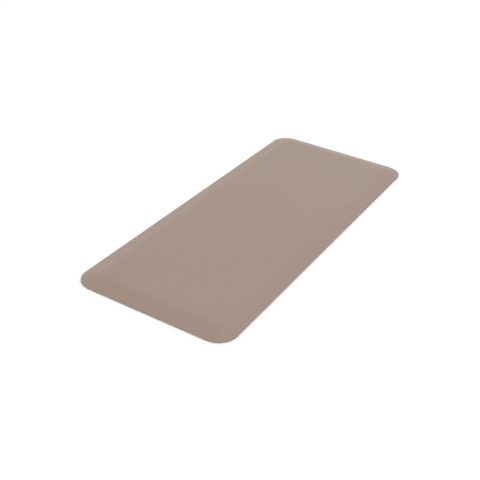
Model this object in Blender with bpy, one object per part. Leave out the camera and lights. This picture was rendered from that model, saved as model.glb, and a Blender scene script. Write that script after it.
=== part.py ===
"""Anti-fatigue floor mat, laid up in layers.

A moulded polyurethane cover with bevelled edges is bonded round its rim to a rubber base sheet, and two
layers of foam fill the space between them. Units are metres, +Z up. The origin is on the floor under the
middle of the mat, +X runs along its length, and the user steps on from the -Y side.

Every layer is a rounded rectangle that is drawn in evenly from the mat's outline as it rises. So its shape
is a profile of (inset, height) steps: the distance in from the outline, and the height above the floor.
"""

import math

import bmesh
import bpy

INCH = 0.0254

# The mat's outline
LENGTH = 48 * INCH
WIDTH = 20 * INCH
CORNER_RADIUS = 0.060
CORNER_STEPS = 14

# The outside of the cover: an upright rim, a long bevel and a rounded shoulder up to the flat top
THICKNESS = 0.75 * INCH
RIM_HEIGHT = 0.0036
RIM_ROUND = 0.0006
BEVEL_WIDTH = 0.052
SHOULDER_RADIUS = 0.046
SHOULDER_STEPS = 6

# The layers, and the clearance between neighbours that stands for a glue line
GAP = 0.0003
BASE_THICKNESS = 0.0018
BASE_INSET = 0.0035
COVER_SKIN = 0.0016
RIM_LAND = 0.0125
SUPPORT_FOAM_THICKNESS = 0.0088

# The bead of hot-melt adhesive, in a groove in the underside of the cover's rim
BEAD_INSET = 0.0060
BEAD_WIDTH = 0.0030
BEAD_HEIGHT = 0.0010

# How far a cutter reaches past the surface that it cuts
CUTTER_OVERLAP = 0.002

# Worked out from the above
BEVEL_ANGLE = math.atan2(THICKNESS - RIM_HEIGHT, BEVEL_WIDTH - RIM_ROUND)
FLAT_INSET = BEVEL_WIDTH + SHOULDER_RADIUS * math.tan(BEVEL_ANGLE / 2)
COVER_BOTTOM = BASE_THICKNESS + GAP
SUPPORT_FOAM_TOP = COVER_BOTTOM + SUPPORT_FOAM_THICKNESS
FOAM_DROP = COVER_SKIN + GAP


def clear_scene():
    """Removes whatever the file opened with."""
    for old in list(bpy.data.objects):
        bpy.data.objects.remove(old, do_unlink=True)


def add_collection(name):
    """A new collection in the scene."""
    collection = bpy.data.collections.new(name)
    bpy.context.scene.collection.children.link(collection)
    return collection


def add_finish(piece, colour, roughness):
    """Gives a piece a non-metallic material of its own."""
    material = bpy.data.materials.new(piece.name)
    material.use_nodes = True
    shader = material.node_tree.nodes["Principled BSDF"]
    shader.inputs["Base Color"].default_value = (*colour, 1)
    shader.inputs["Roughness"].default_value = roughness
    shader.inputs["Metallic"].default_value = 0
    piece.data.materials.append(material)


def bevel_height(inset):
    """The height of the bevel's plane at an inset."""
    return RIM_HEIGHT + (inset - RIM_ROUND) * math.tan(BEVEL_ANGLE)


def bevel_inset(height):
    """The inset at which the bevel's plane reaches a height."""
    return RIM_ROUND + (height - RIM_HEIGHT) / math.tan(BEVEL_ANGLE)


def shoulder(drop=0):
    """The profile of the rounded shoulder, from the bevel up to the flat top, lowered by drop."""
    steps = []
    for step in range(SHOULDER_STEPS + 1):
        angle = BEVEL_ANGLE * (1 - step / SHOULDER_STEPS)
        inset = FLAT_INSET - SHOULDER_RADIUS * math.sin(angle)
        fall = SHOULDER_RADIUS * (1 - math.cos(angle))
        steps.append((inset, THICKNESS - fall - drop))
    return steps


def add_outline(bm, inset):
    """Adds the mat's outline, drawn in by inset, as one flat face."""
    corners = bmesh.ops.create_grid(bm, x_segments=1, y_segments=1, size=0.5)["verts"]
    bmesh.ops.scale(bm, vec=(LENGTH - 2 * inset, WIDTH - 2 * inset, 1), verts=corners)
    bmesh.ops.bevel(
        bm,
        geom=corners,
        affect="VERTICES",
        offset=CORNER_RADIUS - inset,
        segments=CORNER_STEPS,
        profile=0.5,
    )
    return bm.faces[:][0]


def raise_faces(bm, faces, height):
    """Extrudes faces straight up and returns the raised copies."""
    raised = bmesh.ops.extrude_face_region(bm, geom=faces)["geom"]
    verts = [item for item in raised if isinstance(item, bmesh.types.BMVert)]
    bmesh.ops.translate(bm, vec=(0, 0, height), verts=verts)
    return [item for item in raised if isinstance(item, bmesh.types.BMFace)]


def add_solid(name, bm, bottom, collection):
    """Turns a closed mesh into an object that stands at the height of its underside."""
    bmesh.ops.recalc_face_normals(bm, faces=bm.faces)
    mesh = bpy.data.meshes.new(name)
    bm.to_mesh(mesh)
    bm.free()
    mesh.shade_smooth()
    mesh.set_sharp_from_angle(angle=math.radians(25))
    solid = bpy.data.objects.new(name, mesh)
    solid.location.z = bottom
    collection.objects.link(solid)
    return solid


def add_slab(name, profile, collection):
    """A solid with flat ends that follows a profile, whose first step is straight up."""
    (inset, bottom), (_, height), *steps = profile
    bm = bmesh.new()
    top = raise_faces(bm, [add_outline(bm, inset)], height - bottom)
    for next_inset, next_height in steps:
        bmesh.ops.inset_region(
            bm,
            faces=top,
            thickness=next_inset - inset,
            depth=next_height - height,
            use_even_offset=True,
        )
        inset, height = next_inset, next_height
    return add_solid(name, bm, bottom, collection)


def add_frame(name, inset, width, bottom, height, collection):
    """A closed strip of rectangular section that runs all round the mat."""
    bm = bmesh.new()
    middle = add_outline(bm, inset)
    strip = bmesh.ops.inset_region(
        bm,
        faces=[middle],
        thickness=width,
        use_boundary=True,
        use_even_offset=True,
    )["faces"]
    bmesh.ops.delete(bm, geom=[middle], context="FACES")
    raise_faces(bm, strip, height)
    return add_solid(name, bm, bottom, collection)


def cut(piece, cutter):
    """Cuts a cutter's shape out of a piece, and keeps the cutter out of sight."""
    boolean = piece.modifiers.new(cutter.name, "BOOLEAN")
    boolean.operation = "DIFFERENCE"
    boolean.object = cutter
    cutter.hide_render = True
    cutter.display_type = "WIRE"


def base_sheet(parts):
    """The non-slip rubber sheet that lies on the floor, a little smaller than the cover."""
    piece = add_slab("base_sheet", [(BASE_INSET, 0), (BASE_INSET, BASE_THICKNESS)], parts)
    add_finish(piece, (0.050, 0.046, 0.043), 0.85)
    return piece


def support_foam(parts):
    """The firm lower foam, with its edge cut to the bevel."""
    inset = RIM_LAND + GAP
    profile = [
        (inset, COVER_BOTTOM),
        (inset, bevel_height(inset) - FOAM_DROP),
        (bevel_inset(SUPPORT_FOAM_TOP + FOAM_DROP), SUPPORT_FOAM_TOP),
    ]
    piece = add_slab("support_foam", profile, parts)
    add_finish(piece, (0.30, 0.33, 0.36), 0.95)
    return piece


def comfort_foam(parts):
    """The soft upper foam, which fills the cover up to the underside of its top."""
    bottom = SUPPORT_FOAM_TOP + GAP
    edge_top = bottom + GAP
    edge = bevel_inset(edge_top + FOAM_DROP)
    piece = add_slab("comfort_foam", [(edge, bottom), (edge, edge_top), *shoulder(FOAM_DROP)], parts)
    add_finish(piece, (0.78, 0.70, 0.52), 0.95)
    return piece


def top_cover(parts, cutters):
    """The moulded cover: one skin over the top and the bevel, thick at the rim, where a groove takes the glue."""
    outside = [
        (0, COVER_BOTTOM),
        (0, RIM_HEIGHT - RIM_ROUND),
        (RIM_ROUND, RIM_HEIGHT),
        *shoulder(),
    ]
    piece = add_slab("top_cover", outside, parts)
    cavity = [
        (RIM_LAND, COVER_BOTTOM - CUTTER_OVERLAP),
        (RIM_LAND, bevel_height(RIM_LAND) - COVER_SKIN),
        *shoulder(COVER_SKIN),
    ]
    cut(piece, add_slab("foam_cavity", cavity, cutters))
    groove = add_frame(
        "glue_groove",
        BEAD_INSET - GAP,
        BEAD_WIDTH + 2 * GAP,
        COVER_BOTTOM - CUTTER_OVERLAP,
        CUTTER_OVERLAP + BEAD_HEIGHT + GAP,
        cutters,
    )
    cut(piece, groove)
    add_finish(piece, (0.392, 0.305, 0.254), 0.62)
    return piece


def rim_bond_bead(parts):
    """The ring of hot-melt adhesive that holds the cover's rim to the base."""
    piece = add_frame("rim_bond_bead", BEAD_INSET, BEAD_WIDTH, COVER_BOTTOM, BEAD_HEIGHT, parts)
    add_finish(piece, (0.72, 0.66, 0.50), 0.45)
    return piece


def build():
    """Makes the pieces from the floor up and parents them to one empty at the mat's origin."""
    clear_scene()
    parts = add_collection("anti_fatigue_mat")
    cutters = add_collection("cutters")
    origin = bpy.data.objects.new("mat_origin", None)
    parts.objects.link(origin)
    pieces = [
        base_sheet(parts),
        support_foam(parts),
        comfort_foam(parts),
        rim_bond_bead(parts),
        top_cover(parts, cutters),
    ]
    for piece in pieces:
        piece.parent = origin


build()
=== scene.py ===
"""The finished look of an anti-fatigue floor mat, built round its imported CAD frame.

Units are metres, +Z up, with the origin on the floor under the middle of the mat and +X along its length.

Every layer is made of rings. A ring runs round the mat at one inset from its outline and one height, so a
layer is a profile of (inset, height) steps. All the rings share one plan: a grid over the flat middle, and
columns that fan out from the grid's edge to the outline, straight along the sides and round at the corners.
"""

import math

import bmesh
import bpy
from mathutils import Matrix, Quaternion, Vector, noise


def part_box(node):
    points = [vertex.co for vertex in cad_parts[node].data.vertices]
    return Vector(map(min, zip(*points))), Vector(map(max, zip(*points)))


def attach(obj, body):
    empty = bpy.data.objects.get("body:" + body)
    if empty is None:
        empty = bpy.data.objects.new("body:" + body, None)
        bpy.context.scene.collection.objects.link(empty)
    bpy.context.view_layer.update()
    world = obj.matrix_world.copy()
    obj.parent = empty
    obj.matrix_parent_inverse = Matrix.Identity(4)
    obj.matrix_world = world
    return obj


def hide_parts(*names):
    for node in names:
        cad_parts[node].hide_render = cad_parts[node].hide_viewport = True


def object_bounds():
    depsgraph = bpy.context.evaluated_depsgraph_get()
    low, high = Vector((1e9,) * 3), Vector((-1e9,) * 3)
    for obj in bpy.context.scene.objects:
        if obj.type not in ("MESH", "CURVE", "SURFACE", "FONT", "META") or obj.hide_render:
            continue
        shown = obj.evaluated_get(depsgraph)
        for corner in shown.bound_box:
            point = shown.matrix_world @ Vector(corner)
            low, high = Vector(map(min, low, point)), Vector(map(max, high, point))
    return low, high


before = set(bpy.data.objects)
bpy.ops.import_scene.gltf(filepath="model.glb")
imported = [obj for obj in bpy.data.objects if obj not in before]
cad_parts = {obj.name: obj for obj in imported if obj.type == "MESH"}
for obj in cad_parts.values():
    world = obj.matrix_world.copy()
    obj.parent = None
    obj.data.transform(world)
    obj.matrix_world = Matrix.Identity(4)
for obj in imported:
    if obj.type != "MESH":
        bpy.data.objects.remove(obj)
CAD_LOW, CAD_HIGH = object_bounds()

# The mat's outline, from the frame, with the corner radius of the CAD model
LENGTH = CAD_HIGH.x - CAD_LOW.x
WIDTH = CAD_HIGH.y - CAD_LOW.y
CORNER_RADIUS = 0.060
MIDDLE_X = LENGTH / 2 - CORNER_RADIUS
MIDDLE_Y = WIDTH / 2 - CORNER_RADIUS

# The plan shared by all rings
GRID_X = 92
GRID_Y = 32
ARC_STEPS = 24

# The outside of the cover: an upright rim, a long bevel and a rounded shoulder up to the flat top
THICKNESS = CAD_HIGH.z
RIM_HEIGHT = 0.0036
RIM_ROUND = 0.0006
BEVEL_WIDTH = 0.052
BEVEL_STEPS = 7
SHOULDER_RADIUS = 0.046
SHOULDER_STEPS = 14
BEVEL_ANGLE = math.atan2(THICKNESS - RIM_HEIGHT, BEVEL_WIDTH - RIM_ROUND)
FLAT_INSET = BEVEL_WIDTH + SHOULDER_RADIUS * math.tan(BEVEL_ANGLE / 2)

# The layers under it
BASE_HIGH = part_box("base_sheet")[1]
BASE_TOP = BASE_HIGH.z
BASE_INSET = LENGTH / 2 - BASE_HIGH.x
SUPPORT_FOAM_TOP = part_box("support_foam")[1].z
COMFORT_FOAM_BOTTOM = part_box("comfort_foam")[0].z
COVER_SKIN = 0.0016
RIM_LAND = 0.0125
GAP = 0.0003
GLUE_LINE = 0.00005
EDGE_ROUND = 0.0003
FOAM_EDGE_ROUND = 0.0008

# The bead of adhesive under the rim, and its groove
BEAD_LOW, BEAD_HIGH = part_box("rim_bond_bead")
BEAD_INSET = LENGTH / 2 - BEAD_HIGH.x
BEAD_WIDTH = 0.0030

# The tread in the underside: hexagonal pockets with a flat rib between neighbours
TREAD_PITCH = 0.014
TREAD_RIB = 0.0024
TREAD_DEPTH = 0.0005
TREAD_DRAFT = 0.0005
TREAD_BORDER = 0.015

# How far the soft top wanders from a true plane
RIPPLE_HEIGHT = 0.00012
RIPPLE_SCALE = 7.0

# How far the studio floor lies under the mat, so that the two faces don't share a plane
FLOOR_GAP = 0.0002
FLOOR_SIZE = 24

# The lights
SURROUND_STRENGTH = 1.0
KEY_PLACE = Vector((3.45, 0.6, 6.06))
KEY_SIZE = 4.0
KEY_ENERGY = 66

# Colours, before their variation over the surface
COVER_COLOUR = (0.316, 0.229, 0.182)
SOFT_FOAM_COLOUR = (0.78, 0.70, 0.52)
FIRM_FOAM_COLOUR = (0.30, 0.33, 0.36)
RUBBER_COLOUR = (0.050, 0.046, 0.043)
ADHESIVE_COLOUR = (0.72, 0.60, 0.36)
FLOOR_COLOUR = (0.93, 0.93, 0.93, 1)

# Foam cells per metre
SOFT_FOAM_CELLS = 900
FIRM_FOAM_CELLS = 1400

# The angle between faces above which an edge is shaded sharp
SHARP_ANGLE = math.radians(32)

# The camera, aimed at a point on the floor
SENSOR_WIDTH = 36
CAMERA_TARGET = Vector((-0.1412, -0.0126, 0))
CAMERA_AZIMUTH = math.radians(-60.427)
CAMERA_ELEVATION = math.radians(31.985)
CAMERA_DISTANCE = 2.5079
CAMERA_ROLL = math.radians(3.436)
CAMERA_LENS = 60.850


def add_camera():
    """A camera with no shift, rolled a little about its line of sight."""
    camera = bpy.data.cameras.new("camera")
    camera.sensor_width = SENSOR_WIDTH
    camera.lens = CAMERA_LENS
    holder = bpy.data.objects.new("camera", camera)
    bpy.context.scene.collection.objects.link(holder)
    back = Vector(
        (
            math.cos(CAMERA_ELEVATION) * math.sin(CAMERA_AZIMUTH),
            -math.cos(CAMERA_ELEVATION) * math.cos(CAMERA_AZIMUTH),
            math.sin(CAMERA_ELEVATION),
        )
    )
    holder.location = CAMERA_TARGET + CAMERA_DISTANCE * back
    holder.rotation_mode = "QUATERNION"
    holder.rotation_quaternion = back.to_track_quat("Z", "Y") @ Quaternion((0, 0, 1), CAMERA_ROLL)
    bpy.context.scene.camera = holder


def plan_columns():
    """The columns, anticlockwise round the mat: a point of the grid's edge and the way out from it."""
    corners = ((GRID_X, GRID_Y), (0, GRID_Y), (0, 0), (GRID_X, 0))
    columns = []
    for quarter, (i, j) in enumerate(corners):
        for step in range(ARC_STEPS + 1):
            angle = math.pi / 2 * (quarter + step / ARC_STEPS)
            columns.append((i, j, math.cos(angle), math.sin(angle)))
        next_i, next_j = corners[(quarter + 1) % 4]
        side_steps = max(abs(next_i - i), abs(next_j - j))
        for step in range(1, side_steps):
            along_i = i + (next_i - i) * step // side_steps
            along_j = j + (next_j - j) * step // side_steps
            columns.append((along_i, along_j, math.cos(angle), math.sin(angle)))
    return columns


COLUMNS = plan_columns()


def grid_point(i, j):
    """Where a point of the grid lies in plan."""
    return MIDDLE_X * (2 * i / GRID_X - 1), MIDDLE_Y * (2 * j / GRID_Y - 1)


def inset_of(x, y):
    """How far a point lies in from the mat's outline."""
    past_x = abs(x) - MIDDLE_X
    past_y = abs(y) - MIDDLE_Y
    out = math.hypot(max(past_x, 0), max(past_y, 0)) + min(max(past_x, past_y), 0)
    return CORNER_RADIUS - out


def add_ring(bm, inset, height):
    """A ring of vertices at an inset and a height."""
    ring = []
    for i, j, out_x, out_y in COLUMNS:
        x, y = grid_point(i, j)
        reach = CORNER_RADIUS - inset
        ring.append(bm.verts.new((x + reach * out_x, y + reach * out_y, height)))
    return ring


def join_rings(bm, first, second):
    """Faces between two rings. Where the second has one vertex for many columns, they are triangles."""
    for k in range(len(first)):
        corners = [first[k - 1], first[k], second[k], second[k - 1]]
        if corners[2] is corners[3]:
            corners.pop()
        bm.faces.new(corners)


def add_cap(bm, ring, height):
    """Closes a ring with the grid at a height."""
    rows = [
        [bm.verts.new((*grid_point(i, j), height)) for j in range(GRID_Y + 1)]
        for i in range(GRID_X + 1)
    ]
    for low, high in zip(rows, rows[1:]):
        for j in range(GRID_Y):
            bm.faces.new((low[j], high[j], high[j + 1], low[j + 1]))
    join_rings(bm, ring, [rows[i][j] for i, j, _, _ in COLUMNS])


def add_rings(bm, profile):
    """Rings along a profile, with faces between neighbours."""
    rings = [add_ring(bm, inset, height) for inset, height in profile]
    for first, second in zip(rings, rings[1:]):
        join_rings(bm, first, second)
    return rings


def ripple(x, y):
    """The height by which the soft layers wander at a point: nothing at the rim, all of it inside the bevel."""
    share = min(max(inset_of(x, y) / FLAT_INSET, 0), 1)
    place = Vector((x * RIPPLE_SCALE, y * RIPPLE_SCALE, 0.5))
    return RIPPLE_HEIGHT * share * share * noise.noise(place)


def add_piece(name, bm, material, nodes, soft=False):
    """Turns a closed mesh into a piece that rides on the frame and stands for its CAD node."""
    if soft:
        for vert in bm.verts:
            vert.co.z += ripple(vert.co.x, vert.co.y)
    bmesh.ops.recalc_face_normals(bm, faces=bm.faces)
    mesh = bpy.data.meshes.new(name)
    bm.to_mesh(mesh)
    bm.free()
    mesh.shade_smooth()
    mesh.set_sharp_from_angle(angle=SHARP_ANGLE)
    mesh.materials.append(material)
    piece = bpy.data.objects.new(name, mesh)
    bpy.context.scene.collection.objects.link(piece)
    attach(piece, "root")
    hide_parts(*nodes)
    return piece


def arc(inset, height, radius, start, end, steps):
    """Profile steps round an arc. An angle of 0 points out of the mat, and 90 degrees points up."""
    angles = [math.radians(start + (end - start) * step / steps) for step in range(steps + 1)]
    return [(inset - radius * math.cos(a), height + radius * math.sin(a)) for a in angles]


def bevel_height(inset):
    """The height of the bevel's plane at an inset."""
    return RIM_HEIGHT + (inset - RIM_ROUND) * math.tan(BEVEL_ANGLE)


def bevel_inset(height):
    """The inset at which the bevel's plane reaches a height."""
    return RIM_ROUND + (height - RIM_HEIGHT) / math.tan(BEVEL_ANGLE)


def surface(start, drop=0):
    """The bevel's profile from an inset inwards, and the shoulder's up to the flat top, lowered by drop."""
    slope = math.degrees(BEVEL_ANGLE)
    middle = THICKNESS - SHOULDER_RADIUS
    shoulder = arc(FLAT_INSET, middle, SHOULDER_RADIUS, 90 - slope, 90, SHOULDER_STEPS)
    shoulder_start = shoulder[0][0]
    insets = [start + (shoulder_start - start) * step / BEVEL_STEPS for step in range(BEVEL_STEPS)]
    steps = [(inset, bevel_height(inset)) for inset in insets] + shoulder
    return [(inset, height - drop) for inset, height in steps]


def make_cover(material):
    """The moulded cover: bevelled and flat outside, hollow inside, with a thick rim."""
    bottom = BASE_TOP + GLUE_LINE
    slope = math.degrees(BEVEL_ANGLE)
    inside = surface(RIM_LAND, COVER_SKIN)
    groove = BEAD_INSET - GAP, BEAD_INSET + BEAD_WIDTH + GAP
    groove_top = BEAD_HIGH.z + GAP
    underside = [
        (RIM_LAND, bottom),
        (groove[1], bottom),
        (groove[1], groove_top),
        (groove[0], groove_top),
        (groove[0], bottom),
        (EDGE_ROUND, bottom),
    ]
    rim = [
        (0, bottom + EDGE_ROUND),
        *arc(RIM_ROUND, RIM_HEIGHT - RIM_ROUND, RIM_ROUND, 0, 90 - slope, 4),
    ]
    outside = surface(rim[-1][0] + RIM_ROUND)
    bm = bmesh.new()
    rings = add_rings(bm, [*reversed(inside), *underside, *rim, *outside])
    add_cap(bm, rings[0], THICKNESS - COVER_SKIN)
    add_cap(bm, rings[-1], THICKNESS)
    piece = add_piece("cover_skin", bm, material, ["top_cover"], soft=True)


def make_comfort_foam(material):
    """The soft upper foam."""
    drop = COVER_SKIN + GAP
    edge = bevel_inset(COMFORT_FOAM_BOTTOM + FOAM_EDGE_ROUND + drop)
    bm = bmesh.new()
    profile = [(edge + FOAM_EDGE_ROUND, COMFORT_FOAM_BOTTOM), *surface(edge, drop)]
    rings = add_rings(bm, profile)
    add_cap(bm, rings[0], COMFORT_FOAM_BOTTOM)
    add_cap(bm, rings[-1], THICKNESS - drop)
    piece = add_piece("soft_foam_layer", bm, material, ["comfort_foam"], soft=True)


def make_support_foam(material):
    """The firm lower foam."""
    drop = COVER_SKIN + GAP
    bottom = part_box("support_foam")[0].z
    start = RIM_LAND + GAP
    end = bevel_inset(SUPPORT_FOAM_TOP + drop)
    bevel = [start + (end - start) * step / BEVEL_STEPS for step in range(BEVEL_STEPS)]
    profile = [
        (start + FOAM_EDGE_ROUND, bottom),
        (start, bottom + FOAM_EDGE_ROUND),
        *[(inset, bevel_height(inset) - drop) for inset in bevel],
        (end + FOAM_EDGE_ROUND, SUPPORT_FOAM_TOP),
    ]
    bm = bmesh.new()
    rings = add_rings(bm, profile)
    add_cap(bm, rings[0], bottom)
    add_cap(bm, rings[-1], SUPPORT_FOAM_TOP)
    piece = add_piece("firm_foam_layer", bm, material, ["support_foam"])


def make_bead(material):
    """The bead of adhesive, with rounded flanks."""
    middle = (BEAD_LOW.z + BEAD_HIGH.z) / 2
    half = (BEAD_HIGH.z - BEAD_LOW.z) / 2
    outer = arc(BEAD_INSET + half, middle, half, -90, 90, 8)
    inner = arc(BEAD_INSET + BEAD_WIDTH - half, middle, half, 90, 270, 8)
    bm = bmesh.new()
    rings = add_rings(bm, outer + inner)
    join_rings(bm, rings[-1], rings[0])
    add_piece("glue_bead", bm, material, ["rim_bond_bead"])


def add_tread_cells(bm):
    """Hexagonal faces that look down, side by side, wherever a whole one fits inside the border."""
    radius = TREAD_PITCH / math.sqrt(3)
    row_step = 1.5 * radius
    rows = int(WIDTH / 2 / row_step)
    in_row = int(LENGTH / 2 / TREAD_PITCH)
    turns = [math.radians(30 - 60 * k) for k in range(6)]
    for row in range(-rows, rows + 1):
        shift = TREAD_PITCH / 2 * (row % 2)
        for column in range(-in_row, in_row + 1):
            x = column * TREAD_PITCH + shift
            y = row * row_step
            points = [(x + radius * math.cos(a), y + radius * math.sin(a)) for a in turns]
            if min(inset_of(*point) for point in points) > TREAD_BORDER:
                bm.faces.new([bm.verts.new((*point, 0)) for point in points])
    bmesh.ops.remove_doubles(bm, verts=bm.verts, dist=TREAD_RIB / 20)


def make_base(material):
    """The rubber base sheet, with its tread pressed into the underside."""
    bm = bmesh.new()
    add_tread_cells(bm)
    cells = bm.faces[:]
    edges = [edge for edge in bm.edges if edge.is_boundary]
    profile = [
        (BASE_INSET + EDGE_ROUND, 0),
        (BASE_INSET, EDGE_ROUND),
        (BASE_INSET, BASE_TOP - EDGE_ROUND),
        (BASE_INSET + EDGE_ROUND, BASE_TOP),
    ]
    rings = add_rings(bm, profile)
    add_cap(bm, rings[-1], BASE_TOP)
    edges += [bm.edges.get((a, b)) for a, b in zip(rings[0], rings[0][1:] + rings[0][:1])]
    bmesh.ops.triangle_fill(bm, use_beauty=True, edges=edges)
    bmesh.ops.inset_individual(bm, faces=cells, thickness=TREAD_RIB / 2, use_even_offset=True)
    bmesh.ops.inset_individual(
        bm,
        faces=cells,
        thickness=TREAD_DRAFT,
        depth=-TREAD_DEPTH,
        use_even_offset=True,
    )
    add_piece("rubber_base", bm, material, ["base_sheet"])


class Nodes:
    """Builds a material's nodes. Lengths are in metres and scales in cells per metre."""

    def __init__(self, name, specular):
        self.material = bpy.data.materials.new(name)
        self.material.use_nodes = True
        self.tree = self.material.node_tree
        self.shader = self.tree.nodes["Principled BSDF"]
        self.shader.inputs["Specular IOR Level"].default_value = specular
        self.place = self.tree.nodes.new("ShaderNodeTexCoord").outputs["Object"]

    def link(self, source, target):
        self.tree.links.new(source, target)

    def noise(self, scale, detail=2.0):
        """Cloudy noise from 0 to 1."""
        node = self.tree.nodes.new("ShaderNodeTexNoise")
        node.inputs["Scale"].default_value = scale
        node.inputs["Detail"].default_value = detail
        self.link(self.place, node.inputs["Vector"])
        return node.outputs["Fac"]

    def cells(self, scale, feature, warp=0.0):
        """Voronoi cells: their distance field, with their walls bent by noise."""
        node = self.tree.nodes.new("ShaderNodeTexVoronoi")
        node.feature = feature
        node.inputs["Scale"].default_value = scale
        bend = self.tree.nodes.new("ShaderNodeTexNoise")
        bend.inputs["Scale"].default_value = scale * 0.6
        self.link(self.place, bend.inputs["Vector"])
        offset = self.tree.nodes.new("ShaderNodeVectorMath")
        offset.operation = "MULTIPLY_ADD"
        offset.inputs[1].default_value = (warp / scale,) * 3
        self.link(bend.outputs["Color"], offset.inputs[0])
        self.link(self.place, offset.inputs[2])
        self.link(offset.outputs["Vector"], node.inputs["Vector"])
        return node.outputs["Distance"]

    def remap(self, value, from_low, from_high, to_low, to_high):
        """Maps a value from one range to another, and clamps it there."""
        node = self.tree.nodes.new("ShaderNodeMapRange")
        for name, number in (
            ("From Min", from_low),
            ("From Max", from_high),
            ("To Min", to_low),
            ("To Max", to_high),
        ):
            node.inputs[name].default_value = number
        self.link(value, node.inputs["Value"])
        return node.outputs["Result"]

    def multiply(self, first, second):
        """The product of two values."""
        node = self.tree.nodes.new("ShaderNodeMath")
        node.operation = "MULTIPLY"
        self.link(first, node.inputs[0])
        self.link(second, node.inputs[1])
        return node.outputs["Value"]

    def tint(self, colour, shade):
        """A colour times a value that varies over the surface."""
        node = self.tree.nodes.new("ShaderNodeVectorMath")
        node.operation = "SCALE"
        node.inputs[0].default_value = colour
        self.link(shade, node.inputs["Scale"])
        self.link(node.outputs["Vector"], self.shader.inputs["Base Color"])

    def roughness(self, value):
        self.link(value, self.shader.inputs["Roughness"])

    def bump(self, height, depth, below=None):
        """Bumps of a depth, on top of other bumps if there are any."""
        node = self.tree.nodes.new("ShaderNodeBump")
        node.inputs["Distance"].default_value = depth
        self.link(height, node.inputs["Height"])
        if below:
            self.link(below, node.inputs["Normal"])
        self.link(node.outputs["Normal"], self.shader.inputs["Normal"])
        return node.outputs["Normal"]


def cover_material():
    """Matt taupe polyurethane skin with a fine leather grain, and painted shade darkening the grain's creases.
    """
    skin = Nodes("taupe_polyurethane_skin", specular=0.5)
    pebbles = skin.cells(620, "DISTANCE_TO_EDGE", warp=0.55)
    creases = skin.remap(pebbles, 0.0, 0.16, 0.0, 1.0)
    pores = skin.noise(2600, detail=3)
    clouds = skin.remap(skin.noise(5, detail=4), 0.3, 0.7, 0.985, 1.015)
    # Painted shade: the creases of the grain are darkened by up to a tenth, as shade that falls in them, on top
    # of the bump.
    painted_crease_shade = skin.remap(creases, 0.0, 1.0, 0.90, 1.0)
    skin.tint(COVER_COLOUR, skin.multiply(clouds, painted_crease_shade))
    skin.roughness(skin.remap(skin.noise(90, detail=3), 0.3, 0.7, 0.42, 0.50))
    grain = skin.bump(creases, 0.00007)
    skin.bump(pores, 0.00002, below=grain)
    return skin.material


def foam_material(name, colour, cell_scale):
    """Polyurethane foam: round cells with thin walls, a little uneven in colour, and painted shade darkening
    each cell's pit.
    """
    foam = Nodes(name, specular=0.15)
    cells = foam.cells(cell_scale, "F1", warp=0.3)
    hollows = foam.remap(cells, 0.0, 0.7, 0.0, 1.0)
    clouds = foam.remap(foam.noise(14, detail=3), 0.3, 0.7, 0.93, 1.05)
    # Painted shade: the pits at the cells' centres, which the bump sinks, are darkened by up to 28 per cent.
    foam.tint(colour, foam.multiply(foam.remap(hollows, 0.0, 1.0, 0.72, 1.0), clouds))
    foam.roughness(foam.remap(hollows, 0.0, 1.0, 1.0, 0.88))
    foam.bump(hollows, 0.4 / cell_scale)
    return foam.material


def rubber_material():
    """Matt rubber with a fine pressed texture and a dusting of lighter specks."""
    rubber = Nodes("non_slip_rubber", specular=0.3)
    specks = rubber.remap(rubber.noise(1500, detail=1), 0.60, 0.72, 1.0, 1.5)
    clouds = rubber.remap(rubber.noise(9, detail=4), 0.3, 0.7, 0.92, 1.08)
    rubber.tint(RUBBER_COLOUR, rubber.multiply(specks, clouds))
    rubber.roughness(rubber.remap(rubber.noise(60, detail=3), 0.3, 0.7, 0.78, 0.9))
    rubber.bump(rubber.noise(1800, detail=3), 0.00004)
    return rubber.material


def adhesive_material():
    """Amber hot-melt adhesive, waxy and a little cloudy."""
    glue = Nodes("hot_melt_adhesive", specular=0.5)
    glue.shader.inputs["Subsurface Weight"].default_value = 0.3
    glue.shader.inputs["Subsurface Scale"].default_value = 0.002
    clouds = glue.remap(glue.noise(220, detail=3), 0.3, 0.7, 0.9, 1.06)
    glue.tint(ADHESIVE_COLOUR, clouds)
    glue.roughness(glue.remap(glue.noise(500), 0.3, 0.7, 0.34, 0.5))
    glue.bump(glue.noise(300, detail=2), 0.0001)
    return glue.material


def add_stage():
    """A plain white floor."""
    bpy.ops.mesh.primitive_plane_add(size=FLOOR_SIZE, location=(0, 0, -FLOOR_GAP))
    floor = bpy.context.object
    floor.name = "studio_floor"
    paper = bpy.data.materials.new("studio_paper")
    paper.use_nodes = True
    shader = paper.node_tree.nodes["Principled BSDF"]
    shader.inputs["Base Color"].default_value = FLOOR_COLOUR
    shader.inputs["Roughness"].default_value = 1.0
    shader.inputs["Specular IOR Level"].default_value = 0.0
    floor.data.materials.append(paper)


def add_lights():
    """Soft white surroundings, and a broad key light from beyond the far short end."""
    world = bpy.data.worlds.new("studio")
    world.use_nodes = True
    background = world.node_tree.nodes["Background"]
    background.inputs["Color"].default_value = (1, 1, 1, 1)
    background.inputs["Strength"].default_value = SURROUND_STRENGTH
    bpy.context.scene.world = world
    key = bpy.data.lights.new("key", "AREA")
    key.shape = "DISK"
    key.size = KEY_SIZE
    key.energy = KEY_ENERGY
    holder = bpy.data.objects.new("key", key)
    bpy.context.scene.collection.objects.link(holder)
    holder.location = KEY_PLACE
    holder.rotation_euler = (-KEY_PLACE).to_track_quat("-Z", "Y").to_euler()


add_camera()
make_base(rubber_material())
make_support_foam(foam_material("firm_grey_foam", FIRM_FOAM_COLOUR, FIRM_FOAM_CELLS))
make_comfort_foam(foam_material("soft_cream_foam", SOFT_FOAM_COLOUR, SOFT_FOAM_CELLS))
make_bead(adhesive_material())
make_cover(cover_material())
add_stage()
add_lights()
bpy.context.scene.view_settings.view_transform = "Standard"
